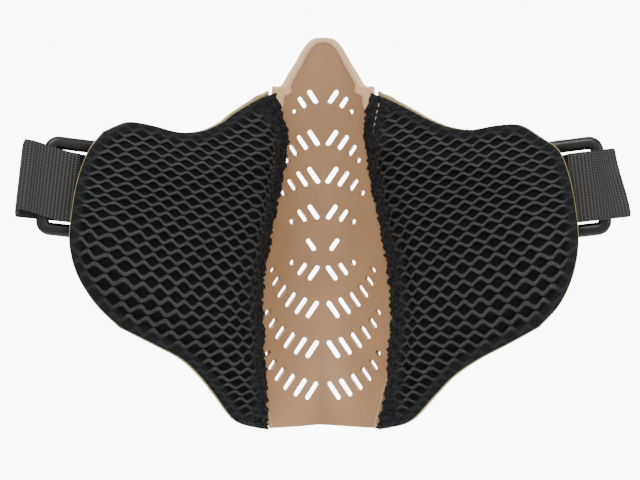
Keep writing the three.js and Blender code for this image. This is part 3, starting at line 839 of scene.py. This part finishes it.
def strapFold(name, side):  # from the stowed strap over the tab, round the outer bar and back
    turn = strap["loopWall"] / 2 + strap["slack"] + strap["wall"] / 2
    inboard, outboard = strap["loopReach"] - strap["bar"] - strap["foldGrip"], strap["foldReach"]
    loose = 0.5 if side > 0 else -0.5
    crossing = [(-11.4, -strap["overlapDepth"]), (-6.2, -5.7), (-3.4, -6.1), (0, -6.35), (4, -5.6), (9, -3.6)]
    route = [(innerBar + a, loopMiddle + b) for a, b in crossing]
    front, back = loopMiddle - turn, loopMiddle + turn
    route += [(inboard + 1, front), (inboard + 6, front), (outboard - 6, front - loose)]
    route += arc((outboard - turn - loose, loopMiddle), turn + loose, -80, 80, 12)
    route += [(outboard - 6, back), (inboard + 6, back), (inboard - 2, back)]
    path = [(p[0], p[1], 0) for p in smoothCurve(route)(np.linspace(0, 1, 80))]
    mesh, places, s, w = band("strapFold_" + name, path, strap["width"], strap["wall"], (0, 0, 1))
    reach = smooth(0, 22, places[:, 0])
    if side > 0:  # this strap stands looser on its loop, its back layer lower
        places[:, 2] += 2.8 * reach - 3.0 * reach * (1 - smooth(-1.5, 1.5, places[:, 1] - loopMiddle))
        places[:, 0] -= 2.0 * reach * smooth(6, 22, places[:, 0])
    else:
        places[:, 0] -= (2.6 + 3.0 * smooth(-1, 1, places[:, 2] / 12.5)) * smooth(6, 22, places[:, 0])
    piece = webbingPiece("strapFold_" + name, mesh, onStrapFrame(places), s, w, side)
    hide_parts("strap_loop_" + name)
    ends = [strapFrame @ Vector((at, loopMiddle, 0)) * mm for at in (innerBar - 5, innerBar + 7)]
    ends = [(side * e.x, e.y, e.z) for e in ends]
    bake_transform(piece)


def stowedStrap(name, side):  # the doubled tail, its turn near the nose panel, and the first layer
    half = layerStep / 2
    length = (stowOut - stowIn).length
    route = [(length * share, layerStep) for share in np.linspace(strap["tailShare"], 0, 16)]
    route += arc((0, half), half, 110, 250, 11)
    route += [(length * share, 0) for share in np.linspace(0, 1, 18)]
    path = [stowIn + stowAlong * a + stowFront * n for a, n in route]
    mesh, places, s, w = band("stowedStrap_" + name, path, strap["width"], strap["wall"], stowAcross)
    piece = webbingPiece("stowedStrap_" + name, mesh, places, s, w, side)
    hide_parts("strap_run_" + name, "strap_tail_" + name)
    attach(piece, "wing_" + name)


def anchorTab(name, side):  # a turn round the loop's inner bar and a doubled tail sewn to the wing
    inside = math.hypot(strap["bar"] / 2, strap["loopWall"] / 2) + 0.5
    middle = inside + strap["tabWall"] / 2
    route = [(innerBar - strap["tabLength"], loopMiddle + middle), (innerBar - 5, loopMiddle + middle)]
    route += arc((innerBar, loopMiddle), middle, 90, -130, 26)
    route += [(innerBar - 5.0, loopMiddle + 0.5), (innerBar - 6.6, loopMiddle + middle - 1.3)]
    route += [(innerBar - strap["tabLength"], loopMiddle + middle - 1.25)]
    path = [(p[0], p[1], 0) for p in smoothCurve(route)(np.linspace(0, 1, 70))]
    mesh, places, s, w = band("anchorTab_" + name, path, strap["width"] - 1, strap["tabWall"], (0, 0, 1))
    piece = webbingPiece("anchorTab_" + name, mesh, onStrapFrame(places), s, w, side)
    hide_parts("anchor_tab_" + name)
    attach(piece, "wing_" + name)


# Stitches.
def stitch(bm, start, end, out, radius, rise):  # one short thread that arches from start to end, in metres
    made = bmesh.ops.create_grid(bm, x_segments=5, y_segments=6, size=0.5)["verts"]
    along = end - start
    beside = along.cross(out).normalized()
    for v in made:
        u, turn = v.co.x + 0.5, (v.co.y + 0.5) * math.tau
        thick = radius * math.sqrt(max(1 - (2 * u - 1) ** 4, 0))
        arch = out * (rise * math.sin(math.pi * u) + thick * math.sin(turn))
        v.co = start + along * u + arch + beside * (thick * math.cos(turn))


def stitchPiece(name, bm, material, body):
    mesh = bpy.data.meshes.new(name)
    bm.to_mesh(mesh)
    bm.free()
    facesOut(mesh)
    piece = addPiece(name, mesh, materials[material])
    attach(piece, body)


# A row of stitches along points on the face surface.
def surfaceStitches(bm, route, side, lift, pitch, radius, fill=0.68):
    length = np.concatenate([[0], np.cumsum(np.linalg.norm(np.diff(route, axis=0), axis=1))])
    for k in range(int(length[-1] / pitch)):
        spots = np.array([k * pitch, (k + fill) * pitch])
        ends = np.stack([np.interp(spots, length, route[:, 0]), np.interp(spots, length, route[:, 1])], 1)
        low = onFace(ends[:, 0], ends[:, 1], lift)
        high = onFace(ends[:, 0], ends[:, 1], lift + math.copysign(1, lift))
        low[:, 0] *= side
        high[:, 0] *= side
        out = Vector(high[0] - low[0]).normalized()
        stitch(bm, Vector(low[0]), Vector(low[1]), out, radius * mm, radius * mm * 0.6)


def shellStitches(name, side):
    border = outerBorder(name)
    keep = border[border[:, 0] > shell["stitchFrom"]]
    inward = np.array(shell["stitchCentre"]) - keep
    inward /= np.linalg.norm(inward, axis=1)[:, None]
    route = keep + inward * shell["stitchInset"]
    bm = bmesh.new()
    surfaceStitches(bm, route, side, -shell["wall"], shell["stitchPitch"], shell["stitchRadius"])
    stitchPiece("edgeStitching_" + name, bm, "cream", "wing_" + name)


def strapStitches(name, side):  # a sewn box where the fold overlaps the stowed strap
    bm = bmesh.new()
    n = loopMiddle - strap["overlapDepth"] - strap["wall"] / 2
    near, far, half = strap["sewnNear"], strap["sewnFar"], strap["sewnHalf"]
    box = [(near, -half), (far, -half), (far, half), (near, half), (near, -half)]
    for (a0, w0), (a1, w1) in zip(box, box[1:]):
        parts = max(1, round(math.hypot(a1 - a0, w1 - w0) / strap["sewnPitch"]))
        for k in range(parts):
            ends = []
            for t in (k / parts, (k + 0.7) / parts):
                spot = strapFrame @ Vector((innerBar + a0 + (a1 - a0) * t, n, w0 + (w1 - w0) * t)) * mm
                ends.append(Vector((side * spot.x, spot.y, spot.z)))
            stitch(bm, ends[0], ends[1], Vector((0, -1, 0)), strap["sewnRadius"] * mm, 0.12 * mm)
    stitchPiece("strapStitching_" + name, bm, "thread", "wing_" + name)


def cornerStitches():  # cream basting left in the lining's top inner corner, on one side only
    bm = bmesh.new()
    route = np.array([(23.2, 51.5), (22.4, 47.5), (21.8, 43.0), (21.6, 38.5)])
    surfaceStitches(bm, route, sides["right"], lift=3.1, pitch=2.4, radius=0.22, fill=0.6)
    stitchPiece("cornerStitching", bm, "cream", "panel")


def stagePlane(name, matrix, half, glow):
    mesh = bpy.data.meshes.new(name)
    bm = bmesh.new()
    bmesh.ops.create_grid(bm, x_segments=1, y_segments=1, size=half)
    bmesh.ops.transform(bm, matrix=matrix, verts=bm.verts[:])
    bm.to_mesh(mesh)
    bm.free()
    plane = bpy.data.objects.new(name, mesh)
    bpy.context.scene.collection.objects.link(plane)
    pale = bpy.data.materials.new(name)
    pale.use_nodes = True
    shader = pale.node_tree.nodes["Principled BSDF"]
    shader.inputs["Base Color"].default_value = (0.9, 0.9, 0.9, 1)
    shader.inputs["Emission Color"].default_value = (1, 1, 1, 1)
    shader.inputs["Emission Strength"].default_value = glow
    mesh.materials.append(pale)


setStudio()
for name, side in sides.items():
    cheekPad(name, side)
    print("cheek pad made,", name)
    camouflageShell(name, side)
    shellStitches(name, side)
    print("camouflage shell made,", name)
    plasticLoop(name, side)
    anchorTab(name, side)
    strapFold(name, side)
    stowedStrap(name, side)
    strapStitches(name, side)
    keeper(name, side)
    print("strap and loop made,", name)
cornerStitches()
nosePanel()
print("nose panel made")


stagePlane("paleFloor", Matrix.Translation((0, 0, -studio["floorDrop"])), studio["floorHalf"], 0.0)
upright = Matrix.Translation((0, -studio["backdropBehind"], 0)) @ Matrix.Rotation(-math.pi / 2, 4, "X")
stagePlane("paleBackdrop", upright, studio["backdropHalf"], studio["backdropGlow"])

finishes = {
    "nose_panel": "panel", "wing_shell": "camo", "foam_core": "mesh", "mesh_lining": "mesh",
    "lining_margin": "mesh", "hinge_strip": "mesh", "anchor_tab": "webbing", "strap_ring": "loop",
    "strap_loop": "webbing", "strap_run": "webbing", "strap_tail": "webbing", "strap_keeper": "loop",
}
for node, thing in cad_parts.items():
    base = node.removesuffix("_left").removesuffix("_right")
    for place in thing.material_slots:
        place.material = materials[finishes[base]]
